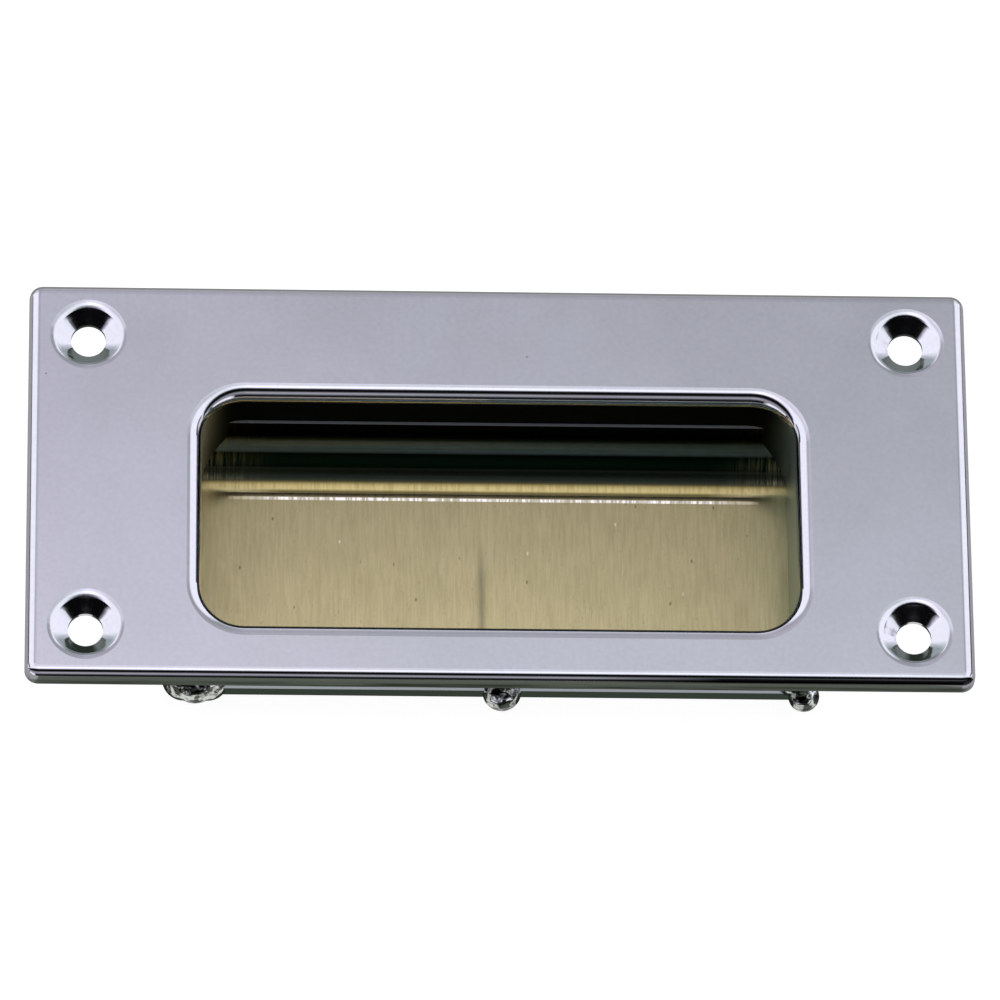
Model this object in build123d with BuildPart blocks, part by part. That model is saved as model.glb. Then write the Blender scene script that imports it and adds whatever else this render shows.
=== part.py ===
"""Flush pull: a pressed front plate with a deep turned-in rim, closed behind by a coved back panel.

The frame has its origin on the door face, at the middle of the plate: +X runs along the plate,
+Y towards its top edge and +Z out of the door. All sizes are in millimetres.
"""
import os
from math import cos, radians, tan

from build123d import *

# Front plate
plate_length = 120.6
plate_height = 55.2
sheet = 1.0  # thickness of the pressed sheet
skirt_depth = 2.6  # from the plate's front face back to the door face
plate_corner = 1.75  # corner radius of the plate, seen from the front
edge_radius = 1.5  # outside radius of the bend between face and skirt

# Finger opening and the rim that is turned in all round it
opening_length = 76.0
opening_height = 31.6
opening_drop = 4.0  # the opening's middle lies this far below the plate's middle
opening_corner = 5.5
lip_radius = 1.9  # outside radius of the bend between face and rim
pocket_depth = 16.2  # from the plate's front face back to the back panel

# Screw dimples, pressed in for countersunk heads until they land on the door face
screw_inset_x = 7.66  # from the plate's end to the screw's axis
screw_inset_y = 7.25  # from the plate's long edge to the screw's axis
screw_hole_radius = 2.25
dimple_radius = 4.35  # where the cone would meet the front face
dimple_angle = 92.0  # included angle of the cone
shoulder_radius = 1.4  # soft shoulder round each dimple

# Back panel, with its sheet coved up inside the rim along both long sides
panel_thickness = 2.0
cove_radius = 5.7
cove_rise = 8.9  # height of the coved sheet's edge above the panel
cove_edge = 0.4  # thickness of the coved sheet at that edge
end_ledge = 2.1  # how far the panel stands out past the rim at its ends
long_ledge = 1.2  # and along its long sides
panel_corner = 1.5

# Solder: a run round the outside of the rim with three pooled beads
outer_run = 0.75
bead_lobes = (  # panel end or middle, shift along from it, distance in from the bottom edge, lift, radius
    (-1, 1.1, 1.7, -1.0, 2.8),
    (-1, 2.6, 1.4, -1.0, 2.9),
    (-1, 4.2, 1.6, -1.0, 2.7),
    (0, 0.85, 0.3, -1.0, 2.5),
    (1, -1.4, 0.05, -1.0, 2.0),
    (1, -3.5, 1.5, 0.0, 1.6),
)

# Levels and places that follow from the sizes above
face_z = skirt_depth
back_of_face_z = face_z - sheet
panel_front_z = face_z - pocket_depth
panel_back_z = panel_front_z - panel_thickness
screw_spacing_x = plate_length - 2 * screw_inset_x
screw_spacing_y = plate_height - 2 * screw_inset_y
rim_length = opening_length + 2 * sheet
rim_height = opening_height + 2 * sheet
rim_corner = opening_corner + sheet
panel_length = rim_length + 2 * end_ledge
panel_height = rim_height + 2 * long_ledge
panel_bottom_y = -opening_drop - panel_height / 2

# The back of a dimple keeps one sheet's thickness, measured square to its cone
half_angle = radians(dimple_angle / 2)
back_cone_radius = dimple_radius + sheet / cos(half_angle)
back_cone_top = back_cone_radius - sheet * tan(half_angle)
back_cone_bottom = back_cone_radius - face_z * tan(half_angle)

opening_plane = Plane((0, -opening_drop, 0))
panel_plane = opening_plane.offset(panel_front_z)

os.makedirs("parts", exist_ok=True)

# Front plate: face, skirt, dimples and rim, all one pressing
with BuildPart() as front_plate:
    with BuildSketch():
        RectangleRounded(plate_length, plate_height, plate_corner)
    extrude(amount=face_z)
    fillet(front_plate.faces().sort_by(Axis.Z)[-1].edges(), edge_radius)
    with BuildSketch():
        RectangleRounded(plate_length - 2 * sheet, plate_height - 2 * sheet, plate_corner - sheet)
    extrude(amount=back_of_face_z, mode=Mode.SUBTRACT)

    # Rim: a tube behind the face. Rim and skirt round into the face inside and out, one sheet apart
    with BuildSketch(panel_plane):
        RectangleRounded(rim_length, rim_height, rim_corner)
    extrude(amount=pocket_depth - sheet / 2)
    underside = front_plate.faces().filter_by(lambda face: face.normal_at().Z < 0).sort_by(Axis.Z)[-1]
    skirt_corner = underside.outer_wire().edges()
    fillet(underside.inner_wires()[0].edges(), lip_radius - sheet)
    fillet(skirt_corner, edge_radius - sheet)
    with BuildSketch(panel_plane):
        RectangleRounded(opening_length, opening_height, opening_corner)
    extrude(amount=pocket_depth, mode=Mode.SUBTRACT)
    lip = front_plate.faces().sort_by(Axis.Z)[-1].inner_wires()[0]
    fillet(lip.edges(), lip_radius)

    # Dimples: a cone behind the face for each screw, then the countersunk hole from the front
    with Locations((0, 0, back_of_face_z)):
        with GridLocations(screw_spacing_x, screw_spacing_y, 2, 2):
            Cone(back_cone_bottom, back_cone_top, back_of_face_z,
                 align=(Align.CENTER, Align.CENTER, Align.MAX))
    with Locations((0, 0, face_z)):
        with GridLocations(screw_spacing_x, screw_spacing_y, 2, 2):
            CounterSinkHole(screw_hole_radius, dimple_radius, counter_sink_angle=dimple_angle)
    shoulders = front_plate.edges().filter_by(GeomType.CIRCLE).filter_by_position(Axis.Z, face_z, face_z)
    fillet(shoulders.filter_by(lambda edge: abs(edge.radius - dimple_radius) < sheet / 2), shoulder_radius)
front_plate.part.label = "front_plate"
export_step(front_plate.part, "parts/front_plate.step")

# Back panel: closes the rim, stands out past it as a narrow ledge and coves up inside it
with BuildPart() as back_panel:
    with BuildSketch(panel_plane):
        RectangleRounded(opening_length, opening_height, opening_corner)
    extrude(amount=cove_rise)
    with BuildSketch(Plane.YZ.shift_origin((0, -opening_drop, panel_front_z + cove_rise))):
        RectangleRounded(opening_height - 2 * cove_edge, 2 * cove_rise, cove_radius)
    extrude(amount=opening_length, both=True, mode=Mode.SUBTRACT)
    with BuildSketch(panel_plane):
        RectangleRounded(panel_length, panel_height, panel_corner)
    extrude(amount=-panel_thickness)
back_panel.part.label = "back_panel"
export_step(back_panel.part, "parts/back_panel.step")

# Outer solder: a hollow run in the corner between rim and ledge, with beads pooled over the bottom edge
with BuildPart() as outer_solder:
    outer_start = Plane((0, -opening_drop - rim_height / 2, panel_front_z),
                        x_dir=(0, -1, 0), z_dir=(-1, 0, 0))
    with BuildSketch(outer_start):
        with BuildLine():
            Line((0, 0), (outer_run, 0))
            RadiusArc((outer_run, 0), (0, outer_run), outer_run)
            Line((0, outer_run), (0, 0))
        make_face()
    sweep(path=front_plate.faces().sort_by(Axis.Z)[0].outer_wire())
    for end, shift, inset, lift, radius in bead_lobes:
        with Locations((end * panel_length / 2 + shift, panel_bottom_y + inset, panel_front_z + lift)):
            Sphere(radius)
    with BuildSketch(panel_plane):
        RectangleRounded(rim_length, rim_height, rim_corner)
    extrude(amount=pocket_depth, mode=Mode.SUBTRACT)
    with BuildSketch(panel_plane):
        RectangleRounded(panel_length, panel_height, panel_corner)
    extrude(amount=-panel_thickness, mode=Mode.SUBTRACT)
    split(bisect_by=Plane.XY.offset(panel_back_z))
outer_solder.part.label = "outer_solder"
export_step(outer_solder.part, "parts/outer_solder.step")
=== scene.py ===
"""Looks of the flush pull: polished plate, brushed back panel and bright solder in a soft studio."""
from math import cos, radians, sin

import bpy
import numpy as np
from mathutils import Matrix, Vector


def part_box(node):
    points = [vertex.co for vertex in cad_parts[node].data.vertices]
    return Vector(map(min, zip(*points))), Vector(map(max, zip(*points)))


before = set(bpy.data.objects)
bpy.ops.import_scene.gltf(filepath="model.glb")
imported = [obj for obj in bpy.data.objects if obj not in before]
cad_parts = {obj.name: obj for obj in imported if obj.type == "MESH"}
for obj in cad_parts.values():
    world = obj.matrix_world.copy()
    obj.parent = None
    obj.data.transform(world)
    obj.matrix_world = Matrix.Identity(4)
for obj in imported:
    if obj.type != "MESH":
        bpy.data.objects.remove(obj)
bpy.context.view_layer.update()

PLATE_LOW, PLATE_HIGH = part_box("front_plate")
PANEL_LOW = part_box("back_panel")[0]
FACE_Z = PLATE_HIGH[2]
FLOOR_Z = PANEL_LOW[2]
PANEL_Z = PLATE_LOW[2]  # the rim ends on the panel's front

# Camera, fitted to the plate's corners, the screw holes and the opening
CAMERA_TILT = radians(25.0)
CAMERA_SIDE = radians(-2.51)
CAMERA_ROLL = radians(-0.56)
CAMERA_DISTANCE = 1.188
FOCAL_PIXELS = 9301.0
PICTURE_PIXELS = 1000.0
MIDDLE_SHIFT = (-0.4, -21.5)
AIM_Y = 0.0005
SENSOR_MM = 36.0


def place_camera():
    """Camera on a ray from near the middle of the face.

    The ray is tilted from +Z towards -Y and swung to one side, and the picture is then rolled round it.
    """
    level = cos(CAMERA_SIDE)
    back = Vector((sin(CAMERA_SIDE), -sin(CAMERA_TILT) * level, cos(CAMERA_TILT) * level))
    level_right = Vector((0, 1, 0)).cross(back).normalized()
    level_up = back.cross(level_right)
    right = cos(CAMERA_ROLL) * level_right + sin(CAMERA_ROLL) * level_up
    up = cos(CAMERA_ROLL) * level_up - sin(CAMERA_ROLL) * level_right
    data = bpy.data.cameras.new("photo_camera")
    data.sensor_fit = "HORIZONTAL"
    data.sensor_width = SENSOR_MM
    data.lens = FOCAL_PIXELS * SENSOR_MM / PICTURE_PIXELS
    data.shift_x = -MIDDLE_SHIFT[0] / PICTURE_PIXELS
    data.shift_y = MIDDLE_SHIFT[1] / PICTURE_PIXELS
    camera = bpy.data.objects.new("photo_camera", data)
    bpy.context.scene.collection.objects.link(camera)
    turn = Matrix((right, up, back)).transposed().to_4x4()
    aim = Vector((0, AIM_Y, FACE_Z))
    camera.matrix_world = Matrix.Translation(aim + CAMERA_DISTANCE * back) @ turn
    bpy.context.scene.camera = camera


class Nodes:
    """A node tree with short calls: add a node, set its inputs, link its first output."""

    def __init__(self, tree):
        self.tree = tree
        tree.nodes.clear()

    def add(self, kind, settings=None, **inputs):
        """A node with its settings. An input is named by its label, or by i and its number."""
        node = self.tree.nodes.new(kind)
        for name, value in (settings or {}).items():
            setattr(node, name, value)
        for name, value in inputs.items():
            self.feed(node, name.replace("_", " "), value)
        return node

    def feed(self, node, key, value):
        socket = node.inputs[int(key[1:]) if key[0] == "i" and key[1:].isdigit() else key]
        if isinstance(value, bpy.types.NodeSocket):
            self.tree.links.new(value, socket)
        elif isinstance(value, bpy.types.Node):
            self.tree.links.new(value.outputs[0], socket)
        else:
            socket.default_value = value

    def axes(self, vector):
        return self.add("ShaderNodeSeparateXYZ", Vector=vector).outputs

    def math(self, operation, first, second=0.0, third=0.0):
        return self.add("ShaderNodeMath", {"operation": operation}, i0=first, i1=second, i2=third)

    def fade(self, value, start, full, low=0.0, high=1.0, smooth=False):
        """Low as far as start, high from full on, and a straight or smooth change between them."""
        settings = {"interpolation_type": "SMOOTHSTEP" if smooth else "LINEAR"}
        node = self.add("ShaderNodeMapRange", settings, Value=value,
                        From_Min=start, From_Max=full, To_Min=low, To_Max=high)
        return node.outputs[0]

    def mix(self, share, first, second, blend="MIX"):
        node = self.tree.nodes.new("ShaderNodeMix")
        node.data_type = "RGBA"
        node.blend_type = blend
        self.feed(node, "i0", share)
        self.feed(node, "i6", first)
        self.feed(node, "i7", second)
        return node.outputs[2]

    def dim(self, colour, shade, share=1.0):
        """A colour times a shade, as far as share goes."""
        return self.mix(share, colour, shade, "MULTIPLY")

    def ramp(self, value, stops):
        """A straight ramp. A stop is a place from 0 to 1 with a colour, or with a level of grey."""
        node = self.add("ShaderNodeValToRGB", Fac=value)
        elements = node.color_ramp.elements
        while len(elements) < len(stops):
            elements.new(0.5)
        for element, (place, colour) in zip(elements, stops):
            element.position = place
            element.color = (*np.broadcast_to(colour, 3).tolist(), 1.0)
        return node

    def spread(self, length, stops):
        """A ramp over a length in metres, from the first stop to the last."""
        low, high = stops[0][0], stops[-1][0]
        places = [((at - low) / (high - low), colour) for at, colour in stops]
        return self.ramp(self.fade(length, low, high), places)

    def drawn_out(self, place, stretch):
        """Object coordinates, scaled by axis if asked: a pattern grows long where the number is small."""
        return self.add("ShaderNodeMapping", Vector=place, Scale=stretch) if stretch else place

    def noise(self, place, scale, detail, stretch=None, roughness=0.5):
        return self.add("ShaderNodeTexNoise", Vector=self.drawn_out(place, stretch), Scale=scale,
                        Detail=detail, Roughness=roughness)

    def cells(self, place, scale, stretch=None):
        """Scattered cells: the distance from a cell's middle, and a number drawn for the cell."""
        node = self.add("ShaderNodeTexVoronoi", Vector=self.drawn_out(place, stretch), Scale=scale)
        draw = self.add("ShaderNodeSeparateColor", Color=node.outputs["Color"])
        return node.outputs["Distance"], draw.outputs[0]


def grey(level):
    return (level, level, level, 1.0)


# Studio: brightness of the surroundings by angle from overhead in degrees, positive away from the camera
STUDIO_BANDS = (
    (-180.0, 0.20),
    (-104.0, 0.10),
    (-98.0, 0.008),
    (-74.0, 0.008),
    (-66.0, 0.12),
    (-61.0, 0.32),
    (-51.0, 0.34),
    (-46.0, 0.12),
    (-40.0, 0.002),
    (-23.0, 0.002),
    (-18.0, 0.30),
    (-13.5, 1.05),
    (-3.0, 1.15),
    (3.0, 0.86),
    (9.0, 0.72),
    (22.5, 0.74),
    (24.0, 0.58),
    (26.0, 0.42),
    (47.0, 0.41),
    (57.0, 0.38),
    (66.0, 0.40),
    (76.0, 0.48),
    (86.0, 0.62),
    (92.0, 0.60),
    (110.0, 0.32),
    (180.0, 0.20),
)
STUDIO_TINT = (0.97, 0.97, 1.12)
# Fall across the middle of the studio and the bright walls at its sides, by the ray's X
SIDE_FALL = (
    (-1.0, (0.98, 0.94, 0.98)),
    (-0.30, (0.98, 0.94, 0.98)),
    (-0.01, (1.19, 1.16, 1.20)),
    (0.045, (1.01, 1.03, 1.02)),
    (0.094, (0.94, 0.96, 0.95)),
    (0.22, (0.82, 0.86, 0.83)),
    (1.0, (0.82, 0.86, 0.83)),
)
SIDE_WALLS = (
    (-1.0, 0.75),
    (-0.96, 0.70),
    (-0.93, 0.02),
    (-0.897, 0.02),
    (-0.885, 1.0),
    (0.885, 1.0),
    (0.897, 0.02),
    (0.93, 0.02),
    (0.96, 0.70),
    (1.0, 0.75),
)
WALL_START = 0.30
WALL_FULL = 0.45
# Towards the camera the dark reaches further out, so the side walls leave a gap there
GAP_LOWER = (radians(-62.0), radians(-75.0))
GAP_UPPER = (radians(-9.0), radians(0.0))
STUDIO_STRENGTH = 4.0  # the bands and the fall are stored at half, the walls at a quarter


def tinted(level):
    return tuple(level * share for share in STUDIO_TINT)


def light_studio():
    """World light: bands by angle from overhead in the YZ plane, a fall from side to side, and side walls."""
    world = bpy.data.worlds.new("studio")
    bpy.context.scene.world = world
    world.use_nodes = True
    nodes = Nodes(world.node_tree)
    x, y, z = nodes.axes(nodes.add("ShaderNodeTexCoord").outputs["Generated"])
    angle = nodes.math("ARCTAN2", y, z)
    turn = nodes.math("MULTIPLY_ADD", angle, 0.5 / np.pi, 0.5)
    bands = nodes.ramp(turn, [(0.5 + degrees / 360.0, tinted(level / 2)) for degrees, level in STUDIO_BANDS])
    across = nodes.math("MULTIPLY_ADD", x, 0.5, 0.5)
    fall = nodes.ramp(across, [(0.5 + 0.5 * side, np.divide(levels, 2)) for side, levels in SIDE_FALL])
    walls = nodes.ramp(across, [(0.5 + 0.5 * side, tinted(level / 4)) for side, level in SIDE_WALLS])
    wall_share = nodes.fade(nodes.math("ABSOLUTE", x), WALL_START, WALL_FULL)
    round_gap = nodes.math("MAXIMUM", nodes.fade(angle, *GAP_LOWER), nodes.fade(angle, *GAP_UPPER))
    light = nodes.mix(nodes.math("MULTIPLY", wall_share, round_gap), nodes.dim(bands, fall), walls)
    studio = nodes.add("ShaderNodeBackground", Color=light, Strength=STUDIO_STRENGTH)
    white = nodes.add("ShaderNodeBackground", Color=grey(1.0), Strength=1.0)
    seen = nodes.add("ShaderNodeLightPath").outputs["Is Camera Ray"]
    both = nodes.add("ShaderNodeMixShader", i0=seen, i1=studio, i2=white)
    nodes.add("ShaderNodeOutputWorld", Surface=both)


FLOOR_HALF = 3.0
FLOOR_GAP = 0.00002
FLOOR_PAPER = grey(0.36)
FLOOR_GLOW = 0.93
# The floor in reflections glows with painted light and shade: a painted shadow under the part, painted light
# below the beads, painted shade in front, lighter elsewhere
FLOOR_SHADOW_UNDER = (0.045, 0.055, 0.045, 1)
FLOOR_LIGHT_NEAR = (0.62, 0.64, 0.62, 1)
FLOOR_SHADE_IN_FRONT = (0.105, 0.118, 0.098, 1)
FLOOR_BESIDE = (0.36, 0.36, 0.38, 1)
NEAR_Y = PANEL_LOW[1] - 0.0012
SHADOW_EDGE = 0.006


def lay_floor():
    """A wide flat square under the part, white to the camera with the part's shadow, painted shade in
    reflections.
    """
    corners = FLOOR_HALF * np.array([(-1, -1), (1, -1), (1, 1), (-1, 1)])
    mesh = bpy.data.meshes.new("floor")
    mesh.from_pydata(np.c_[corners, np.full(4, FLOOR_Z - FLOOR_GAP)].tolist(), [], [(0, 1, 2, 3)])
    floor = bpy.data.objects.new("floor", mesh)
    bpy.context.scene.collection.objects.link(floor)
    material = bpy.data.materials.new("white_floor")
    material.use_nodes = True
    nodes = Nodes(material.node_tree)
    path = nodes.add("ShaderNodeLightPath").outputs
    paper = nodes.add("ShaderNodeBsdfDiffuse", Color=FLOOR_PAPER)
    seen = nodes.math("MULTIPLY", path["Is Camera Ray"], FLOOR_GLOW)
    glow = nodes.add("ShaderNodeEmission", Color=grey(1.0), Strength=seen)
    lit = nodes.add("ShaderNodeAddShader", i0=paper, i1=glow)
    x, y = nodes.axes(nodes.add("ShaderNodeTexCoord").outputs["Object"])[:2]
    aside = nodes.math("SUBTRACT", nodes.math("ABSOLUTE", x), PLATE_HIGH[0])
    beyond = nodes.math("MAXIMUM", aside, nodes.math("SUBTRACT", y, PLATE_HIGH[1]))
    # Painted shadow under the part, painted light below the beads and painted shade in front, for reflections
    # only
    under = nodes.mix(nodes.math("LESS_THAN", y, NEAR_Y), FLOOR_SHADOW_UNDER, FLOOR_LIGHT_NEAR)
    shade = nodes.mix(nodes.math("LESS_THAN", y, PLATE_LOW[1]), under, FLOOR_SHADE_IN_FRONT)
    shade = nodes.mix(nodes.fade(beyond, 0.0, SHADOW_EDGE), shade, FLOOR_BESIDE)
    painted_reflection = nodes.add("ShaderNodeEmission", Color=shade, Strength=1.0)
    both = nodes.add("ShaderNodeMixShader", i0=path["Is Glossy Ray"], i1=lit, i2=painted_reflection)
    nodes.add("ShaderNodeOutputMaterial", Surface=both)
    mesh.materials.append(material)


def metal_finish(name):
    """A new metal with its tree, its main shader and the piece's own coordinates."""
    material = bpy.data.materials.new(name)
    material.use_nodes = True
    nodes = Nodes(material.node_tree)
    shader = nodes.add("ShaderNodeBsdfPrincipled", Metallic=1.0)
    nodes.add("ShaderNodeOutputMaterial", Surface=shader)
    place = nodes.add("ShaderNodeTexCoord").outputs["Object"]
    return material, nodes, shader, place


# Plating: soft clouds and fine grain by the level of noise, and rare specks of dust
CLOUD_TONES = ((0.3, (0.85, 0.85, 0.86)), (0.7, (0.91, 0.91, 0.93)))
CLOUD_GLOSS = ((0.3, 0.07), (0.7, 0.11))
GRAIN_TONES = ((0.25, 0.94), (0.75, 1.0))
DUST_TONES = ((0.035, 0.35), (0.06, 1.0))
DUST_DRAW = 0.91016
# Skirt: where the plate's turned-back edge begins, from its outside and from the face, and its drawn marks
# over painted shade
SKIRT_INSIDE = (PLATE_HIGH[0] - 0.0011, PLATE_HIGH[1] - 0.0011)
SKIRT_LEVELS = (FACE_Z - 0.0010, FACE_Z - 0.0018)
SKIRT_MARKS_AND_SHADE = ((0.36, (0.16, 0.18, 0.15)), (0.50, (0.48, 0.52, 0.47)), (0.64, (0.72, 0.76, 0.70)))
SKIRT_ENDS_SHADE = (0.62, 0.62, 0.64, 1)
SKIRT_DULL = grey(0.30)
# Painted shade on the bend along the top edge
SHADED_TOP_Y = PLATE_HIGH[1] - 0.0014
SHADED_TOP_LEVELS = (FACE_Z - 0.00004, FACE_Z - 0.0002)
TOP_BEND_SHADE = (0.66, 0.66, 0.62, 1)
# Painted shade on the bend along the lower edge, darkening to the right, by X
BEND_TOP = (FACE_Z - 0.00022, FACE_Z - 0.00032)
BEND_FOOT = (FACE_Z - 0.00090, FACE_Z - 0.00070)
BEND_SHADE = ((0.010, 1.0), (0.028, 0.03))
# The rim's walls are dull inside the pocket: painted brass reflection at one end, green shade at the other,
# black shade at the top
RIM_MIDDLE_Y = -0.0040
RIM_HALF = (0.0388, 0.0163)
CEILING_Y = (0.0080, 0.0117)
CEILING_TOP = FACE_Z - 0.0019
ENDS_TOP = FACE_Z - 0.0011
LEFT_END_REFLECTION = (0.97, 0.87, 0.62, 1)
RIGHT_END_SHADE = (0.42, 0.52, 0.45, 1)
CEILING = (0.006, 0.008, 0.005, 1)
RIM_DULL = grey(0.48)
# Screw dimples: their axes, how much their upper walls ease off from the cone, and the painted shade on their
# lower walls
SCREW_X = 0.05264
SCREW_Y = 0.02035
DIMPLE_EDGE = 0.0043
DIMPLE_SOFT = 0.0007
DIMPLE_EASE = 0.295
DIMPLE_UPPER = (-0.55, -0.25)  # sine of the angle round the screw
DIMPLE_LOWER_SHADE = (0.40, 0.46, 0.42, 1)


def skirt_marks_and_shade(nodes, place, x, y, z):
    """The share of the skirt, and its tone: painted shade with drawn marks along its long sides, plain
    painted shade at its ends.
    """
    out_x = nodes.math("SUBTRACT", nodes.math("ABSOLUTE", x), SKIRT_INSIDE[0])
    out_y = nodes.math("SUBTRACT", nodes.math("ABSOLUTE", y), SKIRT_INSIDE[1])
    outside = nodes.math("GREATER_THAN", nodes.math("MAXIMUM", out_x, out_y), 0.0)
    skirt = nodes.math("MULTIPLY", outside, nodes.fade(z, *SKIRT_LEVELS))
    marks = nodes.ramp(nodes.noise(place, 1800.0, 3.0, (0.05, 1.0, 1.0)), SKIRT_MARKS_AND_SHADE)
    return skirt, nodes.mix(nodes.math("GREATER_THAN", out_y, out_x), SKIRT_ENDS_SHADE, marks)


def shaded_bends(nodes, plating, x, y, z):
    """Painted shade along the bend of the top edge, and painted shade darkening towards the right along the
    lower one.
    """
    at_top = nodes.math("GREATER_THAN", y, SHADED_TOP_Y)
    plating = nodes.dim(plating, TOP_BEND_SHADE, nodes.math("MULTIPLY", nodes.fade(z, *SHADED_TOP_LEVELS), at_top))
    on_bend = nodes.math("MULTIPLY", nodes.fade(z, *BEND_TOP), nodes.fade(z, *BEND_FOOT))
    lower_edge = nodes.math("LESS_THAN", y, -SKIRT_INSIDE[1])
    return nodes.dim(plating, nodes.spread(x, BEND_SHADE), nodes.math("MULTIPLY", on_bend, lower_edge))


def rim_painted_shade(nodes, x, y, z):
    """Which places are on the rim's walls inside the pocket, and their painted reflection and shade."""
    across = nodes.math("LESS_THAN", nodes.math("ABSOLUTE", x), RIM_HALF[0])
    from_middle = nodes.math("ABSOLUTE", nodes.math("SUBTRACT", y, RIM_MIDDLE_Y))
    within = nodes.math("MULTIPLY", across, nodes.math("LESS_THAN", from_middle, RIM_HALF[1]))
    at_ceiling = nodes.fade(y, *CEILING_Y, smooth=True)
    dull_top = nodes.math("MULTIPLY_ADD", at_ceiling, CEILING_TOP - ENDS_TOP, ENDS_TOP)
    rim_wall = nodes.math("MULTIPLY", within, nodes.math("LESS_THAN", z, dull_top))
    end = nodes.mix(nodes.math("GREATER_THAN", x, 0.0), LEFT_END_REFLECTION, RIGHT_END_SHADE)
    return rim_wall, nodes.mix(at_ceiling, end, CEILING)


def eased_dimples(nodes, x, y):
    """A normal that fills the upper part of each dimple's cone a little, and the share of its lower part that
    gets painted shade.
    """
    from_x = nodes.math("SUBTRACT", nodes.math("ABSOLUTE", x), SCREW_X)
    screw_y = nodes.math("MULTIPLY", nodes.math("SIGN", y), SCREW_Y)
    from_y = nodes.math("SUBTRACT", y, screw_y)
    squares = nodes.math("MULTIPLY_ADD", from_x, from_x, nodes.math("MULTIPLY", from_y, from_y))
    reach = nodes.math("SQRT", squares)
    inside = nodes.math("SMOOTH_MAX", nodes.math("SUBTRACT", DIMPLE_EDGE, reach), 0.0, DIMPLE_SOFT)
    filled = nodes.math("MULTIPLY", inside, DIMPLE_EASE)
    upper = nodes.fade(nodes.math("DIVIDE", from_y, reach), *DIMPLE_UPPER)
    eased = nodes.add("ShaderNodeBump", Height=filled, Strength=upper, Distance=1.0)
    cupped = nodes.math("LESS_THAN", reach, DIMPLE_EDGE)
    return eased, nodes.math("MULTIPLY", cupped, nodes.math("SUBTRACT", 1.0, upper))


def plate_plating():
    """Polished plating: clouds, grain and dust, drawn marks, dull pocket walls, eased dimples, and painted
    shade and reflection.
    """
    material, nodes, shader, place = metal_finish("plate_plating")
    x, y, z = nodes.axes(place)
    cloud = nodes.noise(place, 55.0, 5.0, roughness=0.6)
    grain = nodes.noise(place, 1500.0, 2.0)
    plating = nodes.dim(nodes.ramp(cloud, CLOUD_TONES), nodes.ramp(grain, GRAIN_TONES))
    distance, draw = nodes.cells(place, 260.0)
    rare = nodes.math("GREATER_THAN", draw, DUST_DRAW)
    plating = nodes.dim(plating, nodes.ramp(distance, DUST_TONES), rare)
    # Painted shade on the bends of the top and lower edges
    plating = shaded_bends(nodes, plating, x, y, z)
    rim_wall, rim_reflection_and_shade = rim_painted_shade(nodes, x, y, z)
    # Painted reflection and shade on the rim's walls inside the pocket
    plating = nodes.dim(plating, rim_reflection_and_shade, rim_wall)
    eased, lower = eased_dimples(nodes, x, y)
    # Painted shade on the dimples' lower walls
    plating = nodes.dim(plating, DIMPLE_LOWER_SHADE, lower)
    # The skirt: drawn marks over painted shade
    skirt, marks_and_shade = skirt_marks_and_shade(nodes, place, x, y, z)
    nodes.feed(shader, "Base Color", nodes.mix(skirt, plating, marks_and_shade))
    gloss = nodes.mix(rim_wall, nodes.ramp(cloud, CLOUD_GLOSS), RIM_DULL)
    nodes.feed(shader, "Roughness", nodes.mix(skirt, gloss, SKIRT_DULL))
    nodes.feed(shader, "Normal", eased)
    return material


# Brushing runs upright and blurs along X only
BLUR_WAY = (1.0, 0.0, 0.05)
STREAK_TONES = ((0.30, (0.885, 0.755, 0.38)), (0.50, (0.925, 0.795, 0.407)), (0.70, (0.965, 0.84, 0.445)))
BROAD_TONES = ((0.3, (0.92, 0.92, 0.91)), (0.7, 1.0))
BROAD_GLOSS = ((0.3, 0.14), (0.7, 0.16))
FLECK_TONES = ((0.27, 0.80), (0.36, 0.98), (0.70, 1.0))
# Rare dark pits and rarer bright dots, by distance from their middle
PIT_TONES = ((0.05, 0.45), (0.12, 1.0))
PIT_DRAW = 0.80
DOT_DRAW = 0.06
DOT_EDGE = (0.13, 0.05)
DOT_TONE = (1.0, 0.93, 0.68, 1)
# One dark upright scratch, by X and from Y downwards
SCRATCH_X = -0.0017
SCRATCH_Y = (-0.0008, -0.0058)
SCRATCH_HALF = 0.0008
SCRATCH_SHARE = 0.50
SCRATCH_TONE = (0.10, 0.10, 0.07, 1)
# A shallow crease runs along the panel just below its upper cove, uneven like a row of beads, with a paler
# painted highlight
CREASE_Y = 0.0047
CREASE_WIDTH = 0.00042
CREASE_RISE = 0.28 * CREASE_WIDTH
CREASE_ENDS = (0.0345, 0.0275)
CREASE_BEADS = (0.32, 0.62)
CREASE_LEAST = 0.25
CREASE_HIGHLIGHT = (0.90, 0.86, 0.76, 1)
# The ledge outside the rim has a rounded edge, and so has the coved sheet; the ledge's pale tone is painted
# light
LEDGE_Y = PANEL_LOW[1] + 0.0020
LEDGE_SLOPE = 0.84
LEDGE_LIGHT = (0.93, 1.0, 0.94, 1)
EDGE_HEIGHT = 0.00886
EDGE_Y = 0.0114
EDGE_SLOPE = 0.22
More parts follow.
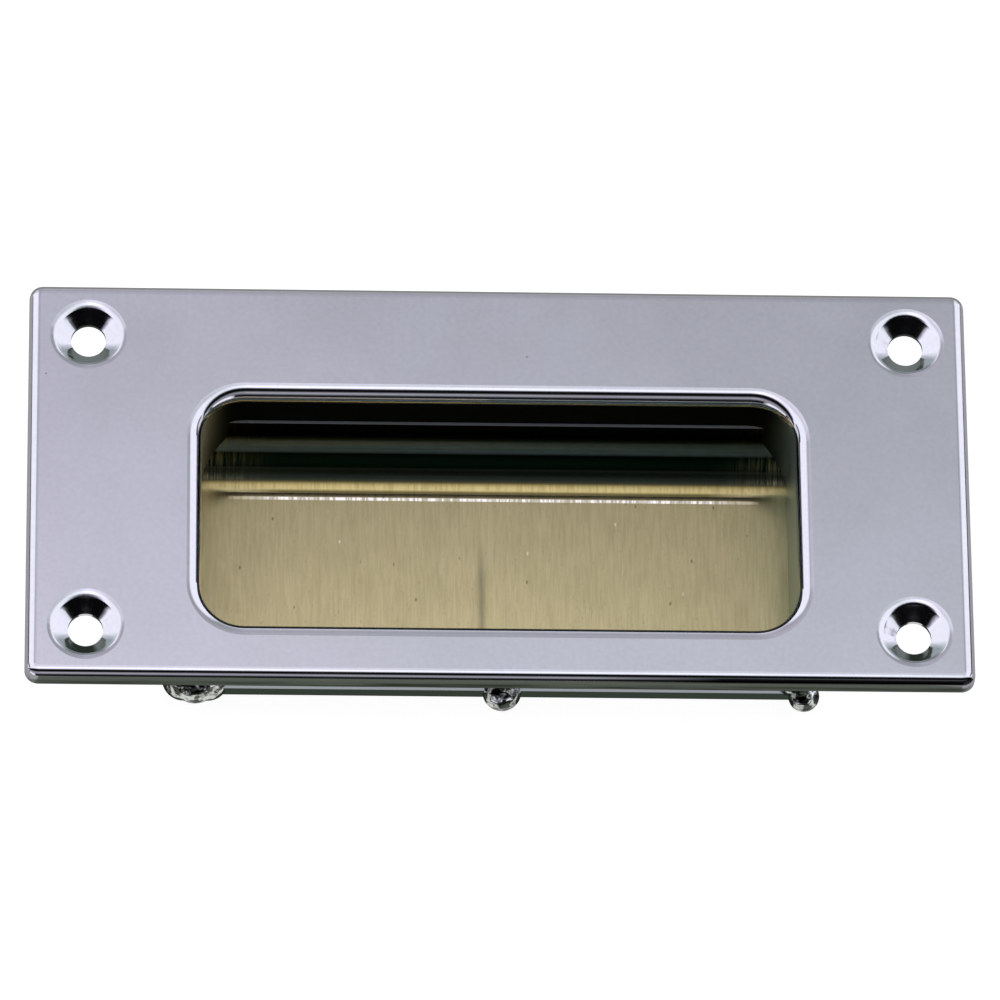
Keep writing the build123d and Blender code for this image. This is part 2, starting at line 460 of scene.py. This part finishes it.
# Painted shade darkens the cove above its foot, with one paler band of painted reflection and a painted edge
# line, by height above the panel
COVE_LEVELS = (0.00018, 0.00040)
COVE_RAGGED = 0.00012
COVE_DULL = grey(0.38)
COVE_SHADE_AND_REFLECTIONS = (
    (0.0, (0.03, 0.04, 0.03)),
    (0.0004, (0.03, 0.04, 0.03)),
    (0.0006, (0.10, 0.13, 0.09)),
    (0.0009, (0.12, 0.15, 0.10)),
    (0.00105, (0.004, 0.016, 0.007)),
    (0.0023, (0.004, 0.016, 0.007)),
    (0.0026, (0.28, 0.34, 0.30)),
    (0.0029, (0.48, 0.62, 0.62)),
    (0.0033, (0.58, 0.78, 0.92)),
    (0.0038, (0.27, 0.37, 0.54)),
    (0.0045, (0.04, 0.06, 0.05)),
    (0.0087, (0.03, 0.03, 0.03)),
    (0.00885, (0.10, 0.11, 0.105)),
    (0.0090, (0.10, 0.11, 0.105)),
)
# Near its ends the cove's painted shade gives way to plain brass in streaks, by distance from the middle
UNSHADED_ENDS = (0.0260, 0.0370)
UNSHADED_SHARE = 0.8
UNSHADED_POWER = 3.0
UNSHADED_STREAKS = (0.40, 0.68)
# Shade just above the crease, where the cove begins, by Y
FOOT_SHADE = (
    (0.00566, (1.0, 1.0, 1.0)),
    (0.00574, (0.28, 0.27, 0.21)),
    (0.00593, (0.27, 0.26, 0.19)),
    (0.00605, (0.44, 0.42, 0.34)),
    (0.00618, (0.76, 0.75, 0.66)),
    (0.00632, (1.04, 1.04, 1.02)),
)
# The foot of the cove keeps its brass and fades upwards into painted shade, by height
FOOT_FADING_SHADE = (
    (0.0, (1.0, 1.0, 1.0)),
    (0.00002, (0.98, 0.95, 0.82)),
    (0.00008, (0.84, 0.79, 0.63)),
    (0.00013, (0.52, 0.48, 0.36)),
    (0.0002, (0.17, 0.16, 0.11)),
    (0.00026, (0.05, 0.05, 0.04)),
    (0.0004, (0.03, 0.03, 0.025)),
)
# The same beads break up the cove's painted foot, by height
TICK_TONES = ((0.36, 0.80), (0.56, 1.0))
TICK_LEVELS = (0.00001, 0.00005)
TICK_LEAST = 0.38
# Painted shade: darker, greener ends of the panel by X, and a lighter lower half by Y
END_SHADE = (
    (-0.0380, (0.66, 0.67, 0.70)),
    (-0.0350, (0.80, 0.80, 0.80)),
    (-0.0270, (0.94, 0.94, 0.94)),
    (0.0, (1.0, 1.0, 1.0)),
    (0.0180, (0.94, 0.94, 0.94)),
    (0.0270, (0.88, 0.88, 0.88)),
    (0.0350, (0.80, 0.81, 0.82)),
    (0.0380, (0.68, 0.70, 0.72)),
)
RISE_SHADE = ((-0.0120, 0.97), (0.0020, 0.81), (0.0054, 0.81), (0.0062, 1.0))


def brushing_blur(nodes, shader):
    """Full blur along X: the tangent is the part of that way that lies in the surface."""
    nodes.feed(shader, "Anisotropic", 1.0)
    nodes.feed(shader, "Specular Tint", grey(0.5))
    cross = {"operation": "CROSS_PRODUCT"}
    normal = nodes.add("ShaderNodeNewGeometry").outputs["Normal"]
    upright = nodes.add("ShaderNodeVectorMath", cross, i0=normal, i1=BLUR_WAY)
    nodes.feed(shader, "Tangent", nodes.add("ShaderNodeVectorMath", cross, i0=upright, i1=normal))


def panel_relief(nodes, y, above, height, lift):
    """A normal for the crease's slope, the rounded ledge and the rounded edge of the coved sheet."""
    step = nodes.fade(above, 0.0, CREASE_WIDTH, high=CREASE_RISE)
    below_ledge = nodes.math("MINIMUM", nodes.math("SUBTRACT", y, LEDGE_Y), 0.0)
    fallen = nodes.math("MULTIPLY", below_ledge, LEDGE_SLOPE)
    on_edge = nodes.math("GREATER_THAN", height, EDGE_HEIGHT)
    rolled = nodes.math("MULTIPLY", nodes.math("SUBTRACT", y, EDGE_Y), EDGE_SLOPE)
    raised = nodes.math("MULTIPLY_ADD", rolled, on_edge, nodes.math("ADD", step, fallen))
    outside = nodes.math("LESS_THAN", y, LEDGE_Y)
    strength = nodes.math("MAXIMUM", nodes.math("MAXIMUM", lift, outside), on_edge)
    return nodes.add("ShaderNodeBump", Height=raised, Strength=strength, Distance=1.0)


def pitted(nodes, place, x, y, brass):
    """Brass with pits, dots and the scratch."""
    distance, draw = nodes.cells(place, 700.0, (1.0, 0.5, 1.0))
    brass = nodes.dim(brass, nodes.ramp(distance, PIT_TONES), nodes.math("GREATER_THAN", draw, PIT_DRAW))
    dot = nodes.math("MULTIPLY", nodes.fade(distance, *DOT_EDGE), nodes.math("LESS_THAN", draw, DOT_DRAW))
    brass = nodes.mix(dot, brass, DOT_TONE)
    beside = nodes.math("ABSOLUTE", nodes.math("SUBTRACT", x, SCRATCH_X))
    thin = nodes.fade(beside, SCRATCH_HALF, 0.0, high=SCRATCH_SHARE)
    return nodes.mix(nodes.math("MULTIPLY", thin, nodes.fade(y, *SCRATCH_Y)), brass, SCRATCH_TONE)


def panel_brushing():
    """Warm sheet brushed upright: streaks, flecks, clouds, a crease, pits, dots, and painted shade,
    reflection and highlights.
    """
    material, nodes, shader, place = metal_finish("panel_brushing")
    brushing_blur(nodes, shader)
    x, y, z = nodes.axes(place)
    aside = nodes.math("ABSOLUTE", x)
    above = nodes.math("SUBTRACT", y, CREASE_Y)
    height = nodes.math("SUBTRACT", z, PANEL_Z)

    beads = nodes.noise(place, 2600.0, 2.0, (1.0, 0.1, 0.1))
    taper = nodes.fade(aside, *CREASE_ENDS)
    lift = nodes.math("MULTIPLY", nodes.fade(beads, *CREASE_BEADS, low=CREASE_LEAST), taper)
    nodes.feed(shader, "Normal", panel_relief(nodes, y, above, height, lift))

    streak = nodes.noise(place, 5200.0, 4.0, (1.0, 0.05, 0.05))
    broad = nodes.noise(place, 300.0, 3.0, (1.0, 0.6, 1.0))
    fleck = nodes.noise(place, 4200.0, 2.0, (1.0, 0.5, 1.0))
    tone = nodes.dim(nodes.ramp(broad, BROAD_TONES), nodes.ramp(fleck, FLECK_TONES))
    brass = nodes.dim(nodes.ramp(streak, STREAK_TONES), tone)
    # Painted shade towards the ends and above the lower half
    brass = nodes.dim(brass, nodes.spread(x, END_SHADE))
    brass = nodes.dim(brass, nodes.spread(y, RISE_SHADE))
    brass = nodes.dim(brass, nodes.spread(y, FOOT_SHADE), taper)
    on_crease = nodes.math("COMPARE", above, CREASE_WIDTH / 2, CREASE_WIDTH / 2)
    # Painted highlight along the crease
    brass = nodes.mix(nodes.math("MULTIPLY", on_crease, lift), brass, CREASE_HIGHLIGHT)
    plain = pitted(nodes, place, x, y, brass)

    ticks = nodes.fade(height, *TICK_LEVELS, low=TICK_LEAST)
    # Painted shade fading up the cove's foot
    foot = nodes.dim(nodes.spread(height, FOOT_FADING_SHADE), nodes.ramp(beads, TICK_TONES), ticks)
    brass = nodes.dim(plain, foot)
    ragged = nodes.math("MULTIPLY_ADD", beads, COVE_RAGGED, nodes.math("SUBTRACT", height, COVE_RAGGED / 2))
    dark = nodes.fade(ragged, *COVE_LEVELS)
    # Painted shade and painted reflection on the cove
    brass = nodes.mix(dark, brass, nodes.spread(height, COVE_SHADE_AND_REFLECTIONS))
    # Plain brass in streaks through the cove's painted shade near its ends
    unshaded = nodes.math("POWER", nodes.fade(aside, *UNSHADED_ENDS, high=UNSHADED_SHARE), UNSHADED_POWER)
    patchy = nodes.math("MULTIPLY", nodes.math("MULTIPLY", unshaded, nodes.fade(streak, *UNSHADED_STREAKS)), dark)
    brass = nodes.mix(patchy, brass, plain)
    outside = nodes.math("LESS_THAN", y, LEDGE_Y)
    # The ledge's pale tone is painted light
    nodes.feed(shader, "Base Color", nodes.mix(outside, brass, LEDGE_LIGHT))
    nodes.feed(shader, "Roughness", nodes.mix(dark, nodes.ramp(broad, BROAD_GLOSS), COVE_DULL))
    return material


# Solder: dark flux to bright metal by the level of noise, and the depth of its wrinkles
FLUX_TONES = ((0.43, (0.07, 0.075, 0.065)), (0.49, (0.45, 0.46, 0.43)), (0.57, (0.94, 0.94, 0.92)))
FLUX_GLOSS = ((0.3, 0.08), (0.7, 0.16))
WRINKLE_DEPTH = 0.0011


def solder_tin():
    """Flowed solder: bright and wrinkled, with dark flux in places."""
    material, nodes, shader, place = metal_finish("solder_tin")
    flux = nodes.noise(place, 820.0, 3.0)
    nodes.feed(shader, "Base Color", nodes.ramp(flux, FLUX_TONES))
    nodes.feed(shader, "Roughness", nodes.ramp(flux, FLUX_GLOSS))
    wrinkle = nodes.noise(place, 480.0, 1.0)
    bump = nodes.add("ShaderNodeBump", Height=wrinkle, Strength=1.0, Distance=WRINKLE_DEPTH)
    nodes.feed(shader, "Normal", bump)
    return material


def dress(node, material):
    """Give a node of the frame one material."""
    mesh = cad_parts[node].data
    mesh.materials.clear()
    mesh.materials.append(material)


bpy.context.scene.view_settings.view_transform = "Standard"
place_camera()
light_studio()
lay_floor()
dress("front_plate", plate_plating())
dress("back_panel", panel_brushing())
dress("outer_solder", solder_tin())
